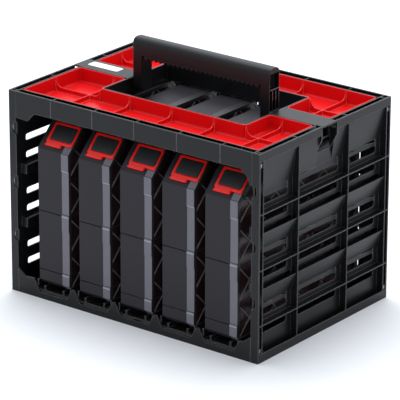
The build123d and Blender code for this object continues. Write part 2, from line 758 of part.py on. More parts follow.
cabinet = {
    "base_panel": base_panel.part,
    "left_side_panel": left_side_panel.part,
    "right_side_panel": right_side_panel.part,
    "back_panel": back_panel.part,
    "front_header": front_header.part,
    "bridge_bars": bridge_bars.part,
    "top_deck": top_deck.part,
    "deck_guides": deck_guides.part,
    "front_tray": front_tray,
    "rear_tray": rear_tray,
    "handle_bar": handle_bar.part,
    "handle_grip_pad": handle_grip_pad.part,
    "handle_pivots": handle_pivots.part,
    "panel_screws": panel_screws.part,
}

case_pieces = {
    "body": case_body.part,
    "lid": case_lid.part,
    "hinge_pins": case_hinge_pins.part,
    "front_latch": front_latch,
    "front_latch_pad": front_latch_pad,
    "rear_latch": rear_latch,
    "rear_latch_pad": rear_latch_pad,
    "latch_pins": case_latch_pins.part,
    "bins": case_bins.part,
}

for name, piece in cabinet.items():
    piece.label = name
    export_step(piece, f"parts/{name}.step")

for number, x in enumerate(case_x, start=1):
    for name, piece in case_pieces.items():
        placed = piece.moved(Location((x, case_front, case_floor)))
        placed.label = f"case_{number}_{name}"
        export_step(placed, f"parts/case_{number}_{name}.step")
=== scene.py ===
"""The looks of a parts drawer cabinet: its shell, trays, folding handle, organiser cases and studio."""
import json
import logging
import math
from dataclasses import dataclass
from enum import Enum
from typing import Optional, Sequence, Union

import bmesh
import bpy
import numpy as np
from mathutils import Matrix, Vector

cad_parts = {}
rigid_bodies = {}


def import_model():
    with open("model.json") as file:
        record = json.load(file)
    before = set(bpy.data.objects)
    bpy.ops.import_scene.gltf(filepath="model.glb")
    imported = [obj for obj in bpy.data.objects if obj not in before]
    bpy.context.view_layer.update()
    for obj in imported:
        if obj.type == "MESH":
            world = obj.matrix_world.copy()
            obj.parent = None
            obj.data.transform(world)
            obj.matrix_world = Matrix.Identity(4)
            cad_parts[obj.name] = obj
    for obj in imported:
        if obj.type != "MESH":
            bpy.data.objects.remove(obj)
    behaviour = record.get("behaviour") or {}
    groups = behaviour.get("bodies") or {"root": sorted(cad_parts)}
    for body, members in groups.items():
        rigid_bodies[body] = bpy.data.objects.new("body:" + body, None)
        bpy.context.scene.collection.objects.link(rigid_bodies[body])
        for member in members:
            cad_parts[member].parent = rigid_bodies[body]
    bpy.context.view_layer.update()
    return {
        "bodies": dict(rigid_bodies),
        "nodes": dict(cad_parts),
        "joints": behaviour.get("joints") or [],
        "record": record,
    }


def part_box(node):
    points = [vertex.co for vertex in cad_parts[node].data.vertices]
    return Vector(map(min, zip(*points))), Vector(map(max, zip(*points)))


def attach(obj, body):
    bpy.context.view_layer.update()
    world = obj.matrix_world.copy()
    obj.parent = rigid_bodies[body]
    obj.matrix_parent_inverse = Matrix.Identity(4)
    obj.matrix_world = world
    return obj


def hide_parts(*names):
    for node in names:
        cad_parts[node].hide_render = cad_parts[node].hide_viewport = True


LOG = logging.getLogger("cabinet")
MM = 0.001
MICRONS_IN_METRE = 1e6
CASES = 5
CASE_PITCH = 70.0
FIRST_CASE = -135.0
FLAT_ANGLE = 1.0
EDGE_ANGLE = 32.0
Pair = tuple[float, float]
Triple = tuple[float, float, float]
Colour = tuple[float, float, float]
Source = Union["Value", float, int, tuple]


class Zone(Enum):
    """Where a face lies on a lid, kept as a number on each face."""

    RIM = 0.0
    PANE = 1.0
    RIB = 2.0
    TOP = 3.0


class Value:
    """A socket whose arithmetic adds Math nodes."""

    def __init__(self, sheet: "NodeSheet", socket: bpy.types.NodeSocket) -> None:
        """Keep the socket and the sheet that it is on."""
        self.sheet = sheet
        self.socket = socket

    def _math(self, operation: str, first: Source, second: Source) -> "Value":
        """Add one Math node between two sources."""
        return self.sheet.node("ShaderNodeMath", {"operation": operation}, {0: first, 1: second})

    def __add__(self, other: Source) -> "Value":
        """Add."""
        return self._math("ADD", self, other)

    __radd__ = __add__

    def __sub__(self, other: Source) -> "Value":
        """Take away."""
        return self._math("SUBTRACT", self, other)

    def __rsub__(self, other: Source) -> "Value":
        """Take this from the other."""
        return self._math("SUBTRACT", other, self)

    def __mul__(self, other: Source) -> "Value":
        """Multiply."""
        return self._math("MULTIPLY", self, other)

    __rmul__ = __mul__

    def least(self, other: Source) -> "Value":
        """The smaller of the two."""
        return self._math("MINIMUM", self, other)

    def most(self, other: Source) -> "Value":
        """The larger of the two."""
        return self._math("MAXIMUM", self, other)

    def ramp(self, low: float, high: float) -> "Value":
        """Rise smoothly from 0 at low to 1 at high."""
        return self.sheet.node("ShaderNodeMapRange", {"interpolation_type": "SMOOTHSTEP"},
                               {0: self, 1: low, 2: high, 3: 0.0, 4: 1.0})


class NodeSheet:
    """The nodes of one material or of the sky."""

    def __init__(self, owner: Union[bpy.types.Material, bpy.types.World]) -> None:
        """Clear the owner's nodes.

        Args:
            owner: The material or the sky.
        """
        self.owner = owner
        owner.use_nodes = True
        self.tree = owner.node_tree
        self.tree.nodes.clear()

    def node(self, kind: str, settings: Optional[dict] = None, sockets: Optional[dict] = None,
             output: Union[int, str] = 0) -> Value:
        """Add a node.

        Args:
            kind: The node's type.
            settings: Properties, set before the sockets.
            sockets: A value or a link for each input, by name or number.
            output: The output to hand back.

        Returns:
            The chosen output as a Value.
        """
        made = self.tree.nodes.new(kind)
        for key, setting in (settings or {}).items():
            setattr(made, key, setting)
        for key, source in (sockets or {}).items():
            if isinstance(source, Value):
                self.tree.links.new(source.socket, made.inputs[key])
            else:
                made.inputs[key].default_value = source
        return Value(self, made.outputs[output]) if len(made.outputs) else None

    def mix(self, factor: Source, first: Source, second: Source) -> Value:
        """Mix two colours by a factor."""
        sockets = {0: factor, 6: self._rgba(first), 7: self._rgba(second)}
        return self.node("ShaderNodeMix", {"data_type": "RGBA"}, sockets, 2)

    @staticmethod
    def _rgba(source: Source) -> Source:
        """Give a plain colour its alpha."""
        return source if isinstance(source, Value) else (*source[:3], 1.0)

    def dot(self, first: Source, second: Source) -> Value:
        """The dot product of two vectors."""
        product = {"operation": "DOT_PRODUCT"}
        return self.node("ShaderNodeVectorMath", product, {0: first, 1: second}, "Value")

    def place(self) -> Value:
        """Object coordinates."""
        return self.node("ShaderNodeTexCoord", output="Object")

    def axis(self, name: str) -> Value:
        """One Object coordinate, in metres."""
        return self.node("ShaderNodeSeparateXYZ", {}, {0: self.place()}, name)

    def noise(self, size: float, detail: float = 2.0, stretch: Triple = (1.0, 1.0, 1.0)) -> Value:
        """Noise whose lumps are about a size across.

        Args:
            size: The size of a lump in metres.
            detail: Octaves.
            stretch: How much finer the noise is along each axis.

        Returns:
            The noise from 0 to 1.
        """
        spot = self.node("ShaderNodeMapping", {}, {"Vector": self.place(), "Scale": stretch})
        return self.node("ShaderNodeTexNoise", {}, {"Vector": spot, "Scale": 1.0 / size, "Detail": detail})

    def finish(self, sockets: dict) -> bpy.types.Material:
        """Feed the shader and end the sheet.

        Args:
            sockets: A value or a link for each of the shader's inputs.

        Returns:
            The material.
        """
        shader = self.node("ShaderNodeBsdfPrincipled", {}, sockets)
        self.node("ShaderNodeOutputMaterial", {}, {"Surface": shader})
        return self.owner


def scaled(colour: Colour, share: float) -> Colour:
    """Make a colour darker or lighter by a share."""
    return tuple(channel * share for channel in colour)


@dataclass(frozen=True)
class MouldedPlastic:
    """An opaque moulding with eroded grain, faint flow marks and a pale highlight painted along its edges.

    Lengths are in metres. The roughness strays from its mean with two noises, one in clouds and one in long
    upright streaks.
    """

    name: str
    colour: Colour
    # The pale colour painted on the edges as a highlight.
    edge_highlight_colour: Colour
    roughness: float = 0.42
    specular: float = 0.5
    grain: float = 0.0006
    grain_depth: float = 0.00002
    grain_strength: float = 0.6
    edge_radius: float = 0.0008
    edge_highlight_strength: float = 0.6
    edge_turn: Pair = (0.01, 0.2)
    mottle: float = 0.12
    cloud: float = 0.06
    cloud_rough: float = 0.07
    streak: float = 0.012
    streak_shape: Triple = (1.0, 1.0, 0.15)
    streak_rough: float = 0.05
    coat: float = 0.0
    coat_roughness: float = 0.15

    def painted_edge_highlight(self, sheet: NodeSheet) -> Value:
        """Find the edges, where a highlight is painted: the normal of a rounded edge leaves the true one
        there.

        Args:
            sheet: The nodes to add to.

        Returns:
            0 on a flat face, rising to the painted highlight's strength on an edge.
        """
        soft = sheet.node("ShaderNodeBevel", {"samples": 4}, {"Radius": self.edge_radius})
        true = sheet.node("ShaderNodeNewGeometry", output="Normal")
        return (1 - sheet.dot(soft, true)).ramp(*self.edge_turn) * self.edge_highlight_strength

    def build(self) -> bpy.types.Material:
        """Build the material.

        Returns:
            The finished material.
        """
        sheet = NodeSheet(bpy.data.materials.new(self.name))
        clouds = sheet.noise(self.cloud, 3.0)
        streaks = sheet.noise(self.streak, 2.0, self.streak_shape)
        grain = sheet.noise(self.grain, 2.0)
        base = sheet.mix(clouds, scaled(self.colour, 1 - self.mottle), scaled(self.colour, 1 + self.mottle))
        # The edges are mixed towards the pale colour: a painted highlight.
        shade = sheet.mix(self.painted_edge_highlight(sheet), base, self.edge_highlight_colour)
        least_rough = self.roughness - (self.cloud_rough + self.streak_rough) / 2
        bump = sheet.node("ShaderNodeBump", {}, {
            "Strength": self.grain_strength, "Distance": self.grain_depth, "Height": grain})
        return sheet.finish({
            "Base Color": shade,
            "Roughness": least_rough + self.cloud_rough * clouds + self.streak_rough * streaks,
            "Normal": bump,
            "Specular IOR Level": self.specular,
            "Coat Weight": self.coat,
            "Coat Roughness": self.coat_roughness})


@dataclass(frozen=True)
class SmokedPlastic:
    """A tinted clear lid: pale along its front and rear rims, dark on its border and top.

    The panes are dark and a little see-through, and the ribs are painted pale as a highlight.
    where the distance to the nearest side of the lid's outline is less than a width: the outline is an
    upright rectangle whose two upper corners are cut at 45 degrees.
    """

    name: str
    near: float = -0.141
    far: float = 0.127
    low: float = 0.0195
    high: float = 0.2595
    bevel: float = 0.046
    border: float = 0.005
    border_blur: float = 0.0004
    rim_colour: Colour = (0.13, 0.127, 0.15)
    step_highlight_colour: Colour = (0.34, 0.33, 0.38)
    # The pale colour painted on the rim's steps as a highlight.
    border_colour: Colour = (0.02, 0.02, 0.022)
    pane_colour: Colour = (0.042, 0.016, 0.015)
    rib_highlight_colour: Colour = (0.2, 0.165, 0.165)
    rim_shares: Pair = (0.88, 1.1)
    pane_share: float = 0.7
    step_heights: Triple = (0.041, 0.125, 0.189)
    step_core: float = 0.0004
    step_half: float = 0.0011
    pane_alpha: float = 0.8
    specular: float = 0.5
    roughness: float = 0.32
    pane_polish: float = 0.1
    cloud: float = 0.03
    cloud_rough: float = 0.06
    grain: float = 0.0009
    grain_depth: float = 0.00001
    grain_strength: float = 0.35

    @staticmethod
    def upwards(zone: Value, first: Zone) -> Value:
        """Be 1 on the faces of a zone and of the zones numbered after it, and 0 on the rest."""
        return zone.ramp(first.value - 0.6, first.value - 0.4)

    def painted_step_highlights(self, sheet: NodeSheet) -> Value:
        """Be 1 on the thin level lines where the rim steps, which are painted pale as a highlight, and 0 off
        them.

        Args:
            sheet: The nodes to add to.

        Returns:
            For each line the rise on its lower side less the rise on its upper side, added up.
        """
        core, half = self.step_core, self.step_half
        offsets = [sheet.axis("Z") - height for height in self.step_heights]
        return sum((offset.ramp(-half, -core) - offset.ramp(core, half) for offset in offsets), start=0.0)

    def edge_distance(self, sheet: NodeSheet) -> Value:
        """Work out how far a point of the face lies from the lid's outline.

        Args:
            sheet: The nodes to add to.

        Returns:
            The least of the distances to its upright, level and slanted sides, in metres.
        """
        y, z = sheet.axis("Y"), sheet.axis("Z")
        across = (y - self.near).least(self.far - y)
        rise = self.high - z
        slant = (across + rise - self.bevel) * math.sqrt(0.5)
        return across.least(rise).least(z - self.low).least(slant)

    def build(self) -> bpy.types.Material:
        """Build the material.

        Returns:
            The finished material, which reads the zone of each face.
        """
        sheet = NodeSheet(bpy.data.materials.new(self.name))
        zone = sheet.node("ShaderNodeAttribute", {"attribute_name": "zone"}, {}, "Fac")
        top = self.upwards(zone, Zone.TOP)
        rib_or_top = self.upwards(zone, Zone.RIB)
        rib = rib_or_top - top
        pane = self.upwards(zone, Zone.PANE) - rib_or_top
        blur = self.border_blur
        border = rib * (1 - self.edge_distance(sheet).ramp(self.border - blur, self.border + blur))
        clouds = sheet.noise(self.cloud, 3.0)
        grain = sheet.noise(self.grain, 1.0)
        rim = sheet.mix(clouds, *(scaled(self.rim_colour, share) for share in self.rim_shares))
        # The step lines are painted pale as the highlight of the rim's steps.
        rim = sheet.mix(self.painted_step_highlights(sheet), rim, self.step_highlight_colour)
        glass = sheet.mix(clouds, scaled(self.pane_colour, self.pane_share), self.pane_colour)
        # The ribs are painted pale as a highlight.
        shade = sheet.mix(rib, sheet.mix(pane, rim, glass), self.rib_highlight_colour)
        bump = sheet.node("ShaderNodeBump", {}, {
            "Strength": self.grain_strength, "Distance": self.grain_depth, "Height": grain})
        return sheet.finish({
            "Base Color": sheet.mix(border.most(top), shade, self.border_colour),
            "Roughness": self.roughness - self.pane_polish * pane + self.cloud_rough * clouds,
            "Normal": bump,
            "Alpha": 1 - (1 - self.pane_alpha) * pane,
            "Specular IOR Level": self.specular})


@dataclass(frozen=True)
class DrawnSteel:
    """Steel pins and screws, with fine marks from drawing and turning. Lengths are in metres."""

    name: str
    colour: Colour
    roughness: float
    dark_share: float = 0.8
    mark: float = 0.0004
    mark_shape: Triple = (1.0, 1.0, 8.0)
    mark_depth: float = 0.00001
    mark_strength: float = 0.3
    mark_rough: float = 0.1

    def build(self) -> bpy.types.Material:
        """Build the material.

        Returns:
            The finished material.
        """
        sheet = NodeSheet(bpy.data.materials.new(self.name))
        marks = sheet.noise(self.mark, 2.0, self.mark_shape)
        bump = sheet.node("ShaderNodeBump", {}, {
            "Strength": self.mark_strength, "Distance": self.mark_depth, "Height": marks})
        return sheet.finish({
            "Base Color": sheet.mix(marks, scaled(self.colour, self.dark_share), self.colour),
            "Roughness": self.roughness - self.mark_rough / 2 + self.mark_rough * marks,
            "Metallic": 1.0,
            "Normal": bump})


@dataclass(frozen=True)
class StudioWhite:
    """The pale floor, lifted a little for the camera and still darkened by the object's shadow."""

    name: str
    colour: Colour = (0.9, 0.91, 0.93)
    roughness: float = 0.9
    lift: float = 0.04

    def build(self) -> bpy.types.Material:
        """Build the material.

        Returns:
            The finished material.
        """
        sheet = NodeSheet(bpy.data.materials.new(self.name))
        seen = sheet.node("ShaderNodeLightPath", output="Is Camera Ray")
        return sheet.finish({
            "Base Color": (*self.colour, 1.0),
            "Roughness": self.roughness,
            "Specular IOR Level": 0.0,
            "Emission Color": sheet.mix(seen, (0.0, 0.0, 0.0), (1.0, 1.0, 1.0)),
            "Emission Strength": self.lift})


Finish = Union[MouldedPlastic, SmokedPlastic, DrawnSteel, StudioWhite]


# The second colour of each moulding is the highlight painted on its edges.
BLACK = MouldedPlastic("black_moulding", (0.0085, 0.0085, 0.0095), (0.42, 0.415, 0.41), roughness=0.36,
                       specular=0.27, edge_radius=0.0009, edge_highlight_strength=0.75)
CHARCOAL = MouldedPlastic("charcoal_case", (0.021, 0.0195, 0.0245), (0.07, 0.07, 0.08), roughness=0.36,
                          specular=0.2)
# The hook of the red latch is coloured near-black as painted shade, for the shadow that it lies in.
HOOK_PAINTED_SHADE = MouldedPlastic("latch_hook_painted_shade", (0.016, 0.011, 0.011), (0.06, 0.05, 0.05), specular=0.36)
TRAY_RED = MouldedPlastic("tray_red", (0.66, 0.004, 0.006), (1.0, 0.2, 0.17), roughness=0.34, specular=0.2,
                          grain_depth=0.00001, edge_radius=0.0016, edge_highlight_strength=0.85, mottle=0.05)
LATCH_RED = MouldedPlastic("latch_red", (0.95, 0.014, 0.01), (1.0, 0.08, 0.05), roughness=0.3, specular=0.3,
                           grain_depth=0.000006, edge_highlight_strength=0.4, mottle=0.04, coat=0.1)
SOFT_BLACK = MouldedPlastic("soft_grip", (0.011, 0.011, 0.012), (0.03, 0.03, 0.032), roughness=0.55,
                            specular=0.4, grain=0.0011, grain_depth=0.00006, edge_highlight_strength=0.3)
LABEL_WHITE = MouldedPlastic("bare_label", (0.78, 0.78, 0.79), (0.9, 0.9, 0.9), roughness=0.3,
                             grain_depth=0.000004, edge_highlight_strength=0.2, mottle=0.02)
BIN_RED = MouldedPlastic("bin_red", (0.55, 0.02, 0.02), (0.8, 0.08, 0.06), roughness=0.45,
                         grain_depth=0.000008, edge_highlight_strength=0.3, mottle=0.05)
SMOKED = SmokedPlastic("smoked_lid")
STEEL = DrawnSteel("blackened_wire", (0.03, 0.03, 0.032), 0.45)
ZINC = DrawnSteel("zinc_screw", (0.42, 0.42, 0.43), 0.4)


class Moulder:
    """Gathers surfaces worked out as arrays and makes one mesh of them."""

    def __init__(self) -> None:
        """Start with nothing."""
        self.points: list[np.ndarray] = []
        self.faces: list[Sequence[int]] = []
        self.count = 0

    def add(self, points: np.ndarray) -> np.ndarray:
        """Keep a block of points.

        Args:
            points: Points in metres, of shape (..., 3).

        Returns:
            Their numbers in the mesh, in the same layout.
        """
        numbers = np.arange(points[..., 0].size).reshape(points.shape[:-1]) + self.count
        self.points.append(points.reshape(-1, 3))
        self.count += numbers.size
        return numbers

    def loft(self, rows: np.ndarray, turn: bool = False) -> None:
        """Skin closed loops and close both ends.

        A face joins each point to its neighbours in its loop and in the next loop.

        Args:
            rows: Loops of points, of shape (loops, points, 3).
            turn: Whether the faces are turned over.
        """
        here = self.add(rows)
        beside = np.roll(here, -1, axis=1)
        quads = np.stack([here[:-1], beside[:-1], beside[1:], here[1:]], axis=-1).reshape(-1, 4)
        if turn:
            quads = quads[:, ::-1]
        self.faces.extend(quads.tolist())
        for ring in (here[0][::-1], here[-1]):
            self.faces.append((ring[::-1] if turn else ring).tolist())

    def piece(self, name: str, sharp: float = 40.0) -> bpy.types.Object:
        """Make the mesh, smooth but for edges over an angle.

        Args:
            name: The object's name.
            sharp: The angle in degrees over which an edge stays sharp.

        Returns:
            The new object, at the origin.
        """
        mesh = bpy.data.meshes.new(name)
        mesh.from_pydata(np.concatenate(self.points).tolist(), [], self.faces)
        return show(mesh, name, sharp)


def show(mesh: bpy.types.Mesh, name: str, sharp: float) -> bpy.types.Object:
    """Put a mesh into the scene with smooth shading up to an angle.

    Args:
        mesh: The mesh.
        name: The object's name.
        sharp: The angle in degrees over which an edge stays sharp.

    Returns:
        The new object, at the origin.
    """
    mesh.validate()
    mesh.shade_smooth()
    mesh.set_sharp_from_angle(angle=math.radians(sharp))
    made = bpy.data.objects.new(name, mesh)
    bpy.context.scene.collection.objects.link(made)
    return made


def read_vectors(items: bpy.types.bpy_prop_collection, name: str) -> np.ndarray:
    """Read a vector from each vertex or face of a mesh.

    Args:
        items: The vertices or the faces.
        name: The vector's name.

    Returns:
        An array of shape (items, 3).
    """
    flat = np.empty(len(items) * 3, np.float32)
    items.foreach_get(name, flat)
    return flat.reshape(-1, 3)


def rounded_loop(corners: np.ndarray, radius: float, inset: np.ndarray, steps: int = 6,
                 least: float = 0.4) -> np.ndarray:
    """Work out a polygon drawn in by each inset, its corners replaced by arcs.

    A corner moves along the sum of its two inward normals, and its arc turns about a centre one radius
    inside it, which shrinks with the inset at an outer corner and grows at an inner one.

    Args:
        corners: The polygon in mm, anticlockwise, of shape (corners, 2).
        radius: The radius of the outer corners, in mm.
        inset: Distances inwards, in mm, of shape (rows,).
        steps: Pieces in each arc.
        least: The smallest radius, in mm.

    Returns:
        Points of shape (rows, corners * (steps + 1), 2).
    """
    before = corners - np.roll(corners, 1, axis=0)
    after = np.roll(corners, -1, axis=0) - corners
    before = before / np.linalg.norm(before, axis=1, keepdims=True)
    after = after / np.linalg.norm(after, axis=1, keepdims=True)
    normal_in = np.stack([-before[:, 1], before[:, 0]], axis=1)
    normal_out = np.stack([-after[:, 1], after[:, 0]], axis=1)
    mitre = (normal_in + normal_out) / (1 + np.sum(normal_in * normal_out, axis=1, keepdims=True))
    turn = before[:, 0] * after[:, 1] - before[:, 1] * after[:, 0]
    side = np.sign(turn)[None, :, None]
    inset = np.asarray(inset, float)[:, None, None]
    radii = np.maximum(radius - side * inset, least)
    centre = corners[None] + mitre[None] * (inset + side * radii)
    start = np.arctan2(normal_in[:, 1], normal_in[:, 0])
    sweep = np.arcsin(np.clip(turn, -1, 1))
    angle = start[:, None] + sweep[:, None] * np.linspace(0, 1, steps + 1)[None]
    spoke = np.stack([np.cos(angle), np.sin(angle)], axis=-1)[None]
    points = centre[:, :, None, :] - (side * radii)[:, :, None, :] * spoke
    return points.reshape(len(inset), -1, 2)


def stacked(flat: np.ndarray, height: np.ndarray) -> np.ndarray:
    """Set flat loops at a height each.

    Args:
        flat: Loops of points, of shape (rows, points, 2).
        height: The height of each loop, of shape (rows,).

    Returns:
        Loops of points, of shape (rows, points, 3).
    """
    return np.concatenate([flat, np.broadcast_to(height[:, None, None], flat.shape[:2] + (1,))], axis=-1)


def arc(centre: Pair, radius: float, start: float, end: float, steps: int) -> np.ndarray:
    """Points of an arc between two angles in degrees."""
    turn = np.radians(np.linspace(start, end, steps + 1))
    return np.stack([centre[0] + radius * np.cos(turn), centre[1] + radius * np.sin(turn)], axis=1)


def rectangle(low: Pair, high: Pair) -> np.ndarray:
    """The corners of a rectangle, anticlockwise."""
    return np.array([low, (high[0], low[1]), high, (low[0], high[1])], float)


class Workshop:
    """What every sub-assembly shares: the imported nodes, the finishes and the way a piece is handed over."""

    def __init__(self, frame: dict) -> None:
        """Keep the frame's nodes and build each finish once."""
        self.nodes: dict[str, bpy.types.Object] = frame["nodes"]
        self.finishes: dict[str, bpy.types.Material] = {}

    def finish(self, kind: Finish) -> bpy.types.Material:
        """Find the material of a finish, and build it the first time that it is asked for.

        Args:
            kind: The finish.

        Returns:
            Its material.
        """
        if kind.name not in self.finishes:
            self.finishes[kind.name] = kind.build()
        return self.finishes[kind.name]

    def dress(self, node: str, kind: Finish) -> None:
        """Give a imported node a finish.

        Args:
            node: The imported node.
            kind: The finish.
        """
        slots = self.nodes[node].material_slots
        for slot in slots:
            slot.material = self.finish(kind)
        if not slots:
            self.nodes[node].data.materials.append(self.finish(kind))

    def hand_over(self, piece: bpy.types.Object, body: str, slot: str, kind: Finish,
                  *stands_for: str) -> None:
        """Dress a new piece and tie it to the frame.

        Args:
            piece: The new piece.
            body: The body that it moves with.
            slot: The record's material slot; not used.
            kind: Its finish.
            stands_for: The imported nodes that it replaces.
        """
        piece.data.materials.clear()
        piece.data.materials.append(self.finish(kind))
        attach(piece, body)
        if stands_for:
            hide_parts(*stands_for)
        LOG.info("%s rides on %s", piece.name, body)

    def solid_copy(self, node: str, name: str) -> bpy.types.Mesh:
        """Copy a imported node's shape as one closed mesh of flat faces.

        The points of the node's loose triangles are rounded to a micron and merged, triangles that lie in
        one plane are joined, and joined faces that bend inwards are split again.

        Args:
            node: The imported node.
            name: The new mesh's name.

        Returns:
            The new mesh.
        """
        source = self.nodes[node].data
        loops = np.empty(len(source.loops), np.int32)
        source.loops.foreach_get("vertex_index", loops)
        microns = np.round(read_vectors(source.vertices, "co") * MICRONS_IN_METRE).astype(np.int64)
        keys, numbers = np.unique(microns, axis=0, return_inverse=True)
        triangles = numbers.ravel()[loops].reshape(-1, 3)
        whole = np.all(triangles != np.roll(triangles, 1, axis=1), axis=1)
        mesh = bpy.data.meshes.new(name)
        mesh.from_pydata((keys / MICRONS_IN_METRE).tolist(), [], triangles[whole].tolist())
        work = bmesh.new()
        work.from_mesh(mesh)
        bmesh.ops.dissolve_limit(work, angle_limit=math.radians(FLAT_ANGLE), verts=work.verts,
                                 edges=work.edges)
        bmesh.ops.connect_verts_concave(work, faces=work.faces)
        work.to_mesh(mesh)
        work.free()
        return mesh

    def softened(self, node: str, name: str, radius: float, segments: int = 2) -> bpy.types.Object:
        """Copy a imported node's own shape and round its edges, as a mould leaves them.

        Args:
            node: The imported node.
            name: The new piece's name.
            radius: The radius of the edges, in mm.
            segments: Facets in each rounded edge.

        Returns:
            The new piece.
        """
        piece = show(self.solid_copy(node, name), name, EDGE_ANGLE)
        bevel = piece.modifiers.new("rounded_edges", "BEVEL")
        bevel.width = radius * MM
        bevel.segments = segments
        bevel.limit_method = "ANGLE"
        bevel.angle_limit = math.radians(EDGE_ANGLE)
        bevel.use_clamp_overlap = False
        bevel.harden_normals = True
        bevel.miter_outer = "MITER_SHARP"
        return piece


@dataclass
class Shell:
    """The black shell: base, side panels, back panel and top deck, with their screws."""

    shop: Workshop
    edge: float = 0.35

    def build(self) -> None:
        """Round the edges of the shell's mouldings and dress its screws."""
        for node in ("base_panel", "left_side_panel", "right_side_panel", "back_panel", "front_header",
                     "bridge_bars", "top_deck", "deck_guides"):
            piece = self.shop.softened(node, f"{node}_moulding", self.edge)
            self.shop.hand_over(piece, "cabinet", "cabinet_plastic", BLACK, node)
        self.shop.dress("panel_screws", ZINC)
        self.shop.dress("handle_pivots", STEEL)


@dataclass
class Louvres:
    """Slanted plates in the bays of both side panels, flush with the skin below and standing out above."""

    shop: Workshop
    skin: float = 197.7
    stand: float = 205.8
    top_stand: float = 205.0
    thickness: float = 1.2
    corner: float = 0.5
    least_corner: float = 0.15
    ease: float = 0.3
    under_flange: Pair = (230.0, 273.2)
    under_ribs: Pair = (203.2, 127.0)
    drop: Pair = (52.0, 27.3)
    bays: tuple[Pair, ...] = ((-135.0, -61.0), (-59.0, 49.0), (51.0, 135.0))
    top_bays: tuple[Pair, ...] = ((-135.0, -61.0), (-59.0, -12.1), (24.1, 49.0), (51.0, 135.0))

    def plate(self, span: Pair, heights: Pair, stand: float) -> np.ndarray:
        """Work out a plate: a slanted strip in section, with rounded corners, carried along Y.

        Args:
            span: Where the plate starts and ends along Y, in mm.
            heights: Its lower and upper edge, in mm.
            stand: How far out its upper edge stands, in mm.

        Returns:
            Loops of points in mm, of shape (stations, points, 3), on the right side panel.
        """
        foot = np.array([heights[0], self.skin])
        crest = np.array([heights[1], stand])
        along = (crest - foot) / np.linalg.norm(crest - foot)
        inward = np.array([along[1], -along[0]]) * self.thickness
        section = np.array([crest, foot, foot + inward, crest + inward])
        inset = np.array([self.ease, 0.0, 0.0, self.ease])
        flat = rounded_loop(section, self.corner, inset, least=self.least_corner)
        y = np.array([span[0], span[0] + self.ease, span[1] - self.ease, span[1]])
        return np.stack([flat[..., 1], np.broadcast_to(y[:, None], flat.shape[:2]), flat[..., 0]], axis=-1)

    def build(self) -> None:
        """Make the plates of each side panel."""
        for side, name in ((1, "right"), (-1, "left")):
            moulder = Moulder()
            plates = [self.plate(span, self.under_flange, self.top_stand) for span in self.top_bays]
            for rib in self.under_ribs:
                heights = (rib - self.drop[0], rib - self.drop[1])
                plates += [self.plate(span, heights, self.stand) for span in self.bays]
            for rows in plates:
                moulder.loft(rows * np.array([side, 1, 1]) * MM, turn=side < 0)
            self.shop.hand_over(moulder.piece(f"{name}_louvres"), "cabinet", "cabinet_plastic", BLACK)


@dataclass
class Label:
    """A bare plate with a raised border on the left bridge bar, without any words."""

    shop: Workshop
    low: Pair = (-192.5, 0.5)
    high: Pair = (-141.0, 16.5)
    corner: float = 3.0
    top: float = 286.0
    sunk: float = 0.5
    rise: float = 0.4
    roll: float = 0.15
    border: float = 1.2
    slope: float = 0.3
    dip: float = 0.12
    field: float = 0.7

    def build(self) -> None:
        """Make the plate: a rounded rectangle whose edge rolls over and whose middle is a little lower."""
        inner = self.border + self.slope
        inset = np.array([0.0, 0.0, self.roll, self.border, inner, inner + self.field])
        middle = self.rise - self.dip
        rise = np.array([-self.sunk, self.rise - self.roll, self.rise, self.rise, middle, middle])
        flat = rounded_loop(rectangle(self.low, self.high), self.corner, inset)
        moulder = Moulder()
        moulder.loft(stacked(flat, self.top + rise) * MM)
        self.shop.hand_over(moulder.piece("bare_label"), "cabinet", "cabinet_plastic", LABEL_WHITE)


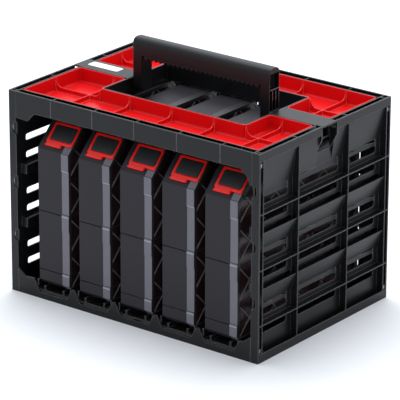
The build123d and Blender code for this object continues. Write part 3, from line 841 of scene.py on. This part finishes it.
@dataclass
class Tray:
    """A red trough round the well, with a rolled rim, filleted floor and curved dividers."""

    shop: Workshop
    front: bool
    wall: float = 1.8
    floor: float = 1.8
    corner: float = 5.0
    least_corner: float = 1.0
    draft: float = 0.4
    fillet: float = 4.0
    foot: float = 0.8
    foot_ease: float = 0.2
    leg_in: Pair = (-114.3, 124.3)
    well_edge: float = 70.3
    middle: float = 6.0
    ridge_low: float = 6.5
    ridge_rise: float = 11.0
    ridge_half: float = 1.2
    ridge_draft: float = 0.1
    ridge_bury: float = 0.6
    sharp: float = 35.0

    def __post_init__(self) -> None:
        """Read the tray's reach from the frame, in mm."""
        self.node = "front_tray" if self.front else "rear_tray"
        low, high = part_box(self.node)
        self.low = np.array(low) / MM
        self.high = np.array(high) / MM
        self.sign = 1.0 if self.front else -1.0
        self.near = self.low[1] if self.front else self.high[1]
        self.far = self.high[1] if self.front else self.low[1]
        self.well = self.middle - self.sign * self.well_edge

    def outline(self) -> np.ndarray:
        """Work out the tray's plan.

        Returns:
            Its corners in mm, anticlockwise, of shape (8, 2).
        """
        x0, x1 = self.low[0], self.high[0]
        left, right = self.leg_in
        plan = np.array([(x0, self.near), (x1, self.near), (x1, self.far), (right, self.far),
                         (right, self.well), (left, self.well), (left, self.far), (x0, self.far)])
        return plan if self.front else plan[::-1]

    def profile(self) -> np.ndarray:
        """Work out the wall's section: an eased foot, a half round over the rim and a quarter circle below.

        Returns:
            Inset and height in mm from the underside over the rim to the floor, of shape (points, 2).
        """
        base, top = self.low[2], self.high[2]
        roll = self.wall / 2
        inner = self.wall + self.draft
        floor = base + self.floor
        foot, ease = self.foot, self.foot_ease
        under = np.array([(foot, base), (ease, base + ease), (0.0, base + foot)])
        rim = arc((roll, top - roll), roll, 180, 0, 8)
        root = arc((inner + self.fillet, floor + self.fillet), self.fillet, 180, 270, 7)
        return np.concatenate([under, rim, root])

    def ridge(self, start: np.ndarray, end: np.ndarray) -> np.ndarray:
        """Work out a divider between two walls.

        Its height is low in the middle and rises to both walls on a quarter circle. Its section is a
        half round on slightly drafted sides that flare into the floor.

        Args:
            start: The plan point at one wall, in mm.
            end: The plan point at the other wall, in mm.

        Returns:
            Loops of points in mm, of shape (stations, points, 3).
        """
        along = end - start
        length = float(np.linalg.norm(along))
        along = along / length
        across = np.array([-along[1], along[0]])
        bend = self.ridge_rise * (1 - np.cos(np.radians(np.linspace(0, 90, 10))))
        bury = self.ridge_bury
        stations = np.concatenate([[-bury], bend, length - bend[::-1], [length + bury]])
        wall = np.clip(np.minimum(stations, length - stations), 0, self.ridge_rise)
        height = self.ridge_low + self.ridge_rise - np.sqrt(
            self.ridge_rise ** 2 - (self.ridge_rise - wall) ** 2)
        half = self.ridge_half
        crown = arc((0, 0), half - self.ridge_draft, 0, 180, 8)
        flare = np.array([(1.9, -0.3), (1.9, 0.0), (0.8, 0.3), (0.25, 1.0), (self.ridge_draft, 2.2)])
        side = flare + np.array([half, 0])
        mirrored = side[::-1] * np.array([-1, 1])
        width = np.concatenate([side[:, 0], crown[:, 0], mirrored[:, 0]])
        rise = np.concatenate([side[:, 1], crown[:, 1], mirrored[:, 1]])
        crowned = np.concatenate([np.zeros(len(side)), np.ones(len(crown)), np.zeros(len(side))])
        z = rise[None] + crowned[None] * (height[:, None] - half)
        plan = start[None, None] + along * stations[:, None, None] + across * width[None, :, None]
        floor = self.low[2] + self.floor
        return np.concatenate([plan, (z + floor)[..., None]], axis=-1)

    def build(self) -> None:
        """Loft the wall, close the floor and set the dividers."""
        inset, height = self.profile().T
        flat = rounded_loop(self.outline(), self.corner, inset, least=self.least_corner)
        moulder = Moulder()
        moulder.loft(stacked(flat, height) * MM)
        left, right = self.leg_in
        inner = self.near + self.sign * self.wall
        for number in range(CASES):
            x = FIRST_CASE + number * CASE_PITCH
            stop = self.well if left < x < right else self.far
            ends = np.array([(x, inner), (x, stop - self.sign * self.wall)])
            moulder.loft(self.ridge(*ends) * MM)
        for start, end in ((self.low[0], left), (right, self.high[0])):
            ends = np.array([(start + self.wall, self.well), (end - self.wall, self.well)])
            moulder.loft(self.ridge(*ends) * MM)
        piece = moulder.piece(f"{self.node}_moulding", self.sharp)
        self.shop.hand_over(piece, f"{self.node}_body", "tray_plastic", TRAY_RED, self.node)


@dataclass
class Handle:
    """The folding portal and the soft grip below its bar."""

    shop: Workshop
    edge: float = 0.9
    edge_segments: int = 3
    grooves: int = 24
    groove_steps: int = 24
    pitch: float = 7.6
    groove: float = 2.4
    roll: float = 1.2
    taper: float = 12.0
    sharp: float = 50.0

    def grip(self) -> bpy.types.Object:
        """Make the soft grip: a rounded strip whose underside is cut by round finger grooves.

        The underside lies a half circle higher in each groove. The section is a flat-topped strip whose
        lower corners are quarter circles, and it narrows at both ends as a quarter circle does.

        Returns:
            The new piece.
        """
        low, high = (np.array(corner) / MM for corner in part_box("handle_grip_pad"))
        centre, middle = (low[:2] + high[:2]) / 2
        x = np.linspace(low[0], high[0], self.groove_steps * self.grooves + 1)
        offset = (x - centre) / self.pitch + (self.grooves - 1) / 2
        away = (offset - np.clip(np.round(offset), 0, self.grooves - 1)) * self.pitch
        under = low[2] + np.sqrt(np.maximum(self.groove ** 2 - away ** 2, 0.0))
        ease = np.clip(np.minimum(x - low[0], high[0] - x) / self.roll, 0, 1)
        shrink = self.roll * (1 - np.sqrt(1 - (1 - ease) ** 2))
        curve = arc((0, 0), self.roll, 180, 270, 5) + self.roll
        near = np.stack([low[1] + curve[:, 0], curve[:, 1]], axis=1)
        far = np.stack([high[1] - curve[::-1, 0], curve[::-1, 1]], axis=1)
        section = np.concatenate([near, far])
        y = np.broadcast_to(section[:, 0], (len(x), len(section)))
        y = (y - middle) * (1 - shrink / self.taper)[:, None] + middle
        z = under[:, None] + section[None, :, 1]
        top = np.full((len(x), 1), high[2])
        y = np.concatenate([y[:, :1], y, y[:, -1:]], axis=1)
        z = np.concatenate([top, z, top], axis=1)
        rows = np.stack([np.broadcast_to(x[:, None], y.shape), y, z], axis=-1)
        moulder = Moulder()
        moulder.loft(rows * MM, turn=True)
        return moulder.piece("handle_soft_grip", self.sharp)

    def build(self) -> None:
        """Round the bar and make the grip."""
        bar = self.shop.softened("handle_bar", "handle_moulding", self.edge, self.edge_segments)
        self.shop.hand_over(bar, "handle", "cabinet_plastic", BLACK, "handle_bar")
        self.shop.hand_over(self.grip(), "handle", "soft_grip", SOFT_BLACK, "handle_grip_pad")


@dataclass
class Latch:
    """A red latch on a bevel of a case, with a rounded frame, a lip, a hook and a crowned thumb pad.

    A place on the bevel is given across the case from its middle and up the slope from its lower edge.
    """

    shop: Workshop
    case: int
    front: bool
    bevel_height: float = 213.5
    frame_low: Pair = (-17.0, 10.6)
    frame_high: Pair = (27.0, 41.6)
    pad_low: Pair = (-12.6, 15.0)
    pad_high: Pair = (24.4, 37.6)
    lip_low: Pair = (-17.0, 5.6)
    lip_high: Pair = (10.4, 13.0)
    hook_low: Pair = (26.8, 11.0)
    hook_high: Pair = (29.2, 41.0)
    hook_reach: float = 8.0
    under: float = 0.3
    top: float = 3.5
    corner: float = 3.0
    foot: float = 0.4
    lip_corner: float = 2.2
    lip_foot: float = 0.3
    lip_step: float = 0.06
    hook_corner: float = 0.6
    hook_point: Pair = (0.4, 0.6)
    hook_edge: tuple[Pair, ...] = ((0.0, 1.7), (0.25, 1.2), (0.6, 1.0))
    roll: tuple[Pair, ...] = ((0.0, 0.9), (0.12, 0.45), (0.45, 0.12), (0.9, 0.0))
    recess: tuple[Pair, ...] = ((-0.5, 0.0), (-0.15, 0.15), (0.0, 0.5), (0.0, 1.9))
    pad_edge: tuple[Pair, ...] = ((0.25, -1.85), (0.25, -0.1), (0.33, 0.25), (0.6, 0.5))
    pad_rings: tuple[float, ...] = (1.1, 2.2, 3.6, 5.2, 7.0, 8.8)
    pad_shoulder: float = 0.62
    pad_crown: float = 0.5
    pad_reach: float = 10.0

    def __post_init__(self) -> None:
        """Name the latch and find the case's middle and the face that the bevel starts from, in mm."""
        end = "front" if self.front else "rear"
        self.name = f"case_{self.case}_{end}"
        self.body = f"{self.name}_catch"
        body_low, body_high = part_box(f"case_{self.case}_body")
        lid_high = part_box(f"case_{self.case}_lid")[1]
        self.middle = (body_low[0] + lid_high[0]) / 2 / MM
        self.face = (body_low[1] if self.front else body_high[1]) / MM

    def lay(self, flat: np.ndarray, out: np.ndarray) -> np.ndarray:
        """Lay points onto the bevel, which leans back at 45 degrees.

        Args:
            flat: Distances across the case and up the slope, in mm.
            out: Distances out of the bevel, in mm.

        Returns:
            Points in metres.
        """
        root = math.sqrt(0.5)
        side = 1.0 if self.front else -1.0
        x = self.middle + flat[..., 0]
        y = self.face + side * (flat[..., 1] - out) * root
        z = self.bevel_height + (flat[..., 1] + out) * root
        return np.stack([x, y, z], axis=-1) * MM

    def loops(self, low: Pair, high: Pair, corner: float, section: Sequence[Pair]) -> np.ndarray:
        """Work out rounded rectangles on the bevel.

        Args:
            low: The lowest corner of the largest rectangle.
            high: Its highest corner.
            corner: The radius of its corners.
            section: How far each rectangle is drawn in, and how far out of the bevel it lies.

        Returns:
            Loops of points in metres, of shape (loops, points, 3).
        """
        inset, out = np.array(section).T
        flat = rounded_loop(rectangle(low, high), corner, inset)
        return self.lay(flat, np.broadcast_to(out[:, None], flat.shape[:2]))

    def block(self, foot: float, drop: float = 0.0) -> list[Pair]:
        """The section of a block: a foot drawn in below, an upright side and a rolled upper edge.

        Args:
            foot: How far the foot is drawn in and how high it stands.
            drop: How far the block's top lies below the latch's top.

        Returns:
            How far each loop is drawn in, and how far out of the bevel it lies.
        """
        rolled = [(inset, self.top - below - drop) for inset, below in self.roll]
        return [(foot, self.under), (0.0, self.under + foot), *rolled]

    def frame(self) -> bpy.types.Object:
        """Make the frame, whose upper face runs on into the pad's recess, and the lip below it.

        Returns:
            The new piece.
        """
        recess = [(inset, self.top - below) for inset, below in self.recess]
        moulder = Moulder()
        moulder.loft(np.concatenate([
            self.loops(self.frame_low, self.frame_high, self.corner, self.block(self.foot)),
            self.loops(self.pad_low, self.pad_high, self.corner, recess)]), turn=not self.front)
        lip = self.block(self.lip_foot, self.lip_step)
        moulder.loft(self.loops(self.lip_low, self.lip_high, self.lip_corner, lip), turn=not self.front)
        return moulder.piece(f"{self.name}_latch_frame")

    def hook(self) -> bpy.types.Object:
        """Make the hook, a thin blade that reaches down beside the case.

        Returns:
            The new piece.
        """
        point, taper = self.hook_point
        section = [(point, -self.hook_reach), (0.0, taper - self.hook_reach)]
        section += [(inset, self.top - below) for inset, below in self.hook_edge]
        moulder = Moulder()
        blade = self.loops(self.hook_low, self.hook_high, self.hook_corner, section)
        moulder.loft(blade, turn=not self.front)
        return moulder.piece(f"{self.name}_latch_hook")

    def pad(self) -> bpy.types.Object:
        """Make the thumb pad, which rises on a parabola from its shoulder towards its middle.

        Returns:
            The new piece.
        """
        edge = [(inset, self.top + out) for inset, out in self.pad_edge]
        shoulder, crown, reach = self.top + self.pad_shoulder, self.pad_crown, self.pad_reach
        rise = [(inset, shoulder + crown * (1 - (1 - inset / reach) ** 2)) for inset in self.pad_rings]
        moulder = Moulder()
        moulder.loft(self.loops(self.pad_low, self.pad_high, self.corner, edge + rise), turn=not self.front)
        return moulder.piece(f"{self.name}_thumb_pad")

    def build(self) -> None:
        """Make the frame with its lip, the hook and the pad."""
        node = f"{self.name}_latch"
        self.shop.hand_over(self.frame(), self.body, "latch_plastic", LATCH_RED, node)
        # The hook takes the near-black finish as painted shade.
        self.shop.hand_over(self.hook(), self.body, "soft_grip", HOOK_PAINTED_SHADE, node)
        self.shop.hand_over(self.pad(), self.body, "soft_grip", SOFT_BLACK, f"{node}_pad")


@dataclass
class OrganiserCase:
    """One upright case: its charcoal body, smoked lid, bins, pins and two latches."""

    shop: Workshop
    number: int
    edge: float = 0.6
    lid_edge: float = 0.35
    pane_depth: float = 0.72
    facing: float = 0.9

    def mark_zones(self, lid: bpy.types.Object) -> None:
        """Give each face of the lid its zone: a face turned sideways is a rib's or a pane's, by its depth.

        A face turned upwards is the top's, and any other face is the rim's.

        Args:
            lid: The softened lid.
        """
        mesh = lid.data
        normal = read_vectors(mesh.polygons, "normal")
        centre = read_vectors(mesh.polygons, "center")
        face = read_vectors(mesh.vertices, "co")[:, 0].max()
        sideways = normal[:, 0] > self.facing
        deep = sideways & (centre[:, 0] < face - self.pane_depth * MM)
        zone = np.where(deep, Zone.PANE.value, np.where(sideways, Zone.RIB.value, Zone.RIM.value))
        zone = np.where(normal[:, 2] > self.facing, Zone.TOP.value, zone)
        layer = mesh.attributes.new("zone", "FLOAT", "FACE")
        layer.data.foreach_set("value", zone.astype(np.float32))

    def build(self) -> None:
        """Build the case."""
        name = f"case_{self.number}"
        body = self.shop.softened(f"{name}_body", f"{name}_tub", self.edge)
        self.shop.hand_over(body, name, "case_plastic", CHARCOAL, f"{name}_body")
        lid = self.shop.softened(f"{name}_lid", f"{name}_smoked_lid", self.lid_edge, 1)
        self.mark_zones(lid)
        self.shop.hand_over(lid, name, "lid_plastic", SMOKED, f"{name}_lid")
        self.shop.dress(f"{name}_bins", BIN_RED)
        self.shop.dress(f"{name}_hinge_pins", STEEL)
        self.shop.dress(f"{name}_latch_pins", STEEL)
        for front in (True, False):
            Latch(self.shop, self.number, front).build()


@dataclass
class Studio:
    """The pale floor, the soft light and the camera of the photograph.

    Angles are in degrees and lengths in metres, apart from the lens and the sensor, which are in mm.
    """

    azimuth: float = 37.6073
    elevation: float = 20.5624
    roll: float = 0.1716
    distance: float = 4.27313
    lens: float = 287.82
    sensor: float = 36.0
    sight: float = 100.0
    aim: Triple = (0.0, 0.0, 0.145)
    shift_right: float = 0.0012266
    shift_up: float = -0.0096333
    floor_half: float = 12.0
    sky: float = 0.85
    sky_colour: Colour = (0.94, 0.98, 1.04)
    sky_slope: Triple = (-0.3, 0.42, 0.2)
    lamp_watts: float = 32.0
    lamp_spot: Triple = (-0.35, 0.4, 2.2)
    lamp_size: Pair = (1.3, 1.2)

    def camera(self) -> None:
        """Place the camera: back along the view from near the cabinet's middle, with a small roll."""
        az, el, roll = (math.radians(v) for v in (self.azimuth, self.elevation, self.roll))
        back = Vector((math.sin(az) * math.cos(el), -math.cos(az) * math.cos(el), math.sin(el)))
        right = Vector((math.cos(az), math.sin(az), 0.0))
        up = back.cross(right)
        target = Vector(self.aim) + right * self.shift_right + up * self.shift_up
        rolled_right = right * math.cos(roll) + up * math.sin(roll)
        rolled_up = up * math.cos(roll) - right * math.sin(roll)
        data = bpy.data.cameras.new("photo_camera")
        data.lens = self.lens
        data.sensor_width = self.sensor
        data.clip_end = self.sight
        camera = bpy.data.objects.new("photo_camera", data)
        bpy.context.scene.collection.objects.link(camera)
        turn = Matrix((rolled_right, rolled_up, back)).transposed().to_4x4()
        camera.matrix_world = Matrix.Translation(target + back * self.distance) @ turn
        bpy.context.scene.camera = camera

    def floor(self, shop: Workshop) -> None:
        """Lay the floor, a large flat square.

        Args:
            shop: The workshop that holds the finishes.
        """
        half = self.floor_half
        plan = rectangle((-half, -half), (half, half))
        mesh = bpy.data.meshes.new("floor")
        mesh.from_pydata(stacked(plan[None], np.zeros(1))[0].tolist(), [], [(0, 1, 2, 3)])
        floor = bpy.data.objects.new("floor", mesh)
        bpy.context.scene.collection.objects.link(floor)
        mesh.materials.append(shop.finish(StudioWhite("studio_floor")))

    def light(self) -> None:
        """Set a cool sky and one broad lamp, which shines straight down from behind and to the left.

        The sky's strength is a level plus the dot product of the direction and a slope, so that it is
        brighter above, behind and to the left. The camera sees it as plain white.
        """
        world = bpy.data.worlds.new("studio_sky")
        bpy.context.scene.world = world
        sheet = NodeSheet(world)
        seen = sheet.node("ShaderNodeLightPath", output="Is Camera Ray")
        slope = sheet.dot(sheet.node("ShaderNodeTexCoord", output="Generated"), self.sky_slope)
        strength = self.sky + slope + seen * (1.0 - self.sky - slope)
        shade = sheet.node("ShaderNodeBackground", {}, {
            "Color": sheet.mix(seen, self.sky_colour, (1.0, 1.0, 1.0)), "Strength": strength})
        sheet.node("ShaderNodeOutputWorld", {}, {"Surface": shade})
        data = bpy.data.lights.new("soft_lamp", "AREA")
        data.shape = "RECTANGLE"
        data.size, data.size_y = self.lamp_size
        data.energy = self.lamp_watts
        lamp = bpy.data.objects.new("soft_lamp", data)
        bpy.context.scene.collection.objects.link(lamp)
        lamp.matrix_world = Matrix.Translation(Vector(self.lamp_spot))

    def build(self, shop: Workshop) -> None:
        """Set up the camera, the floor and the light.

        Args:
            shop: The workshop that holds the finishes.
        """
        view = bpy.context.scene.view_settings
        view.view_transform = "Standard"
        self.camera()
        self.floor(shop)
        self.light()


def corners(bounds: tuple[Vector, Vector]) -> list[list[float]]:
    """Turn a pair of corners into plain lists."""
    return [list(map(float, corner)) for corner in bounds]


def main() -> None:
    """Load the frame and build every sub-assembly."""
    logging.basicConfig(level=logging.INFO, format="%(name)s: %(message)s")
    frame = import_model()
    shop = Workshop(frame)
    Studio().build(shop)
    Shell(shop).build()
    Louvres(shop).build()
    Label(shop).build()
    for front in (True, False):
        Tray(shop, front).build()
    Handle(shop).build()
    for number in range(1, CASES + 1):
        OrganiserCase(shop, number).build()


if __name__ == "__main__":
    main()
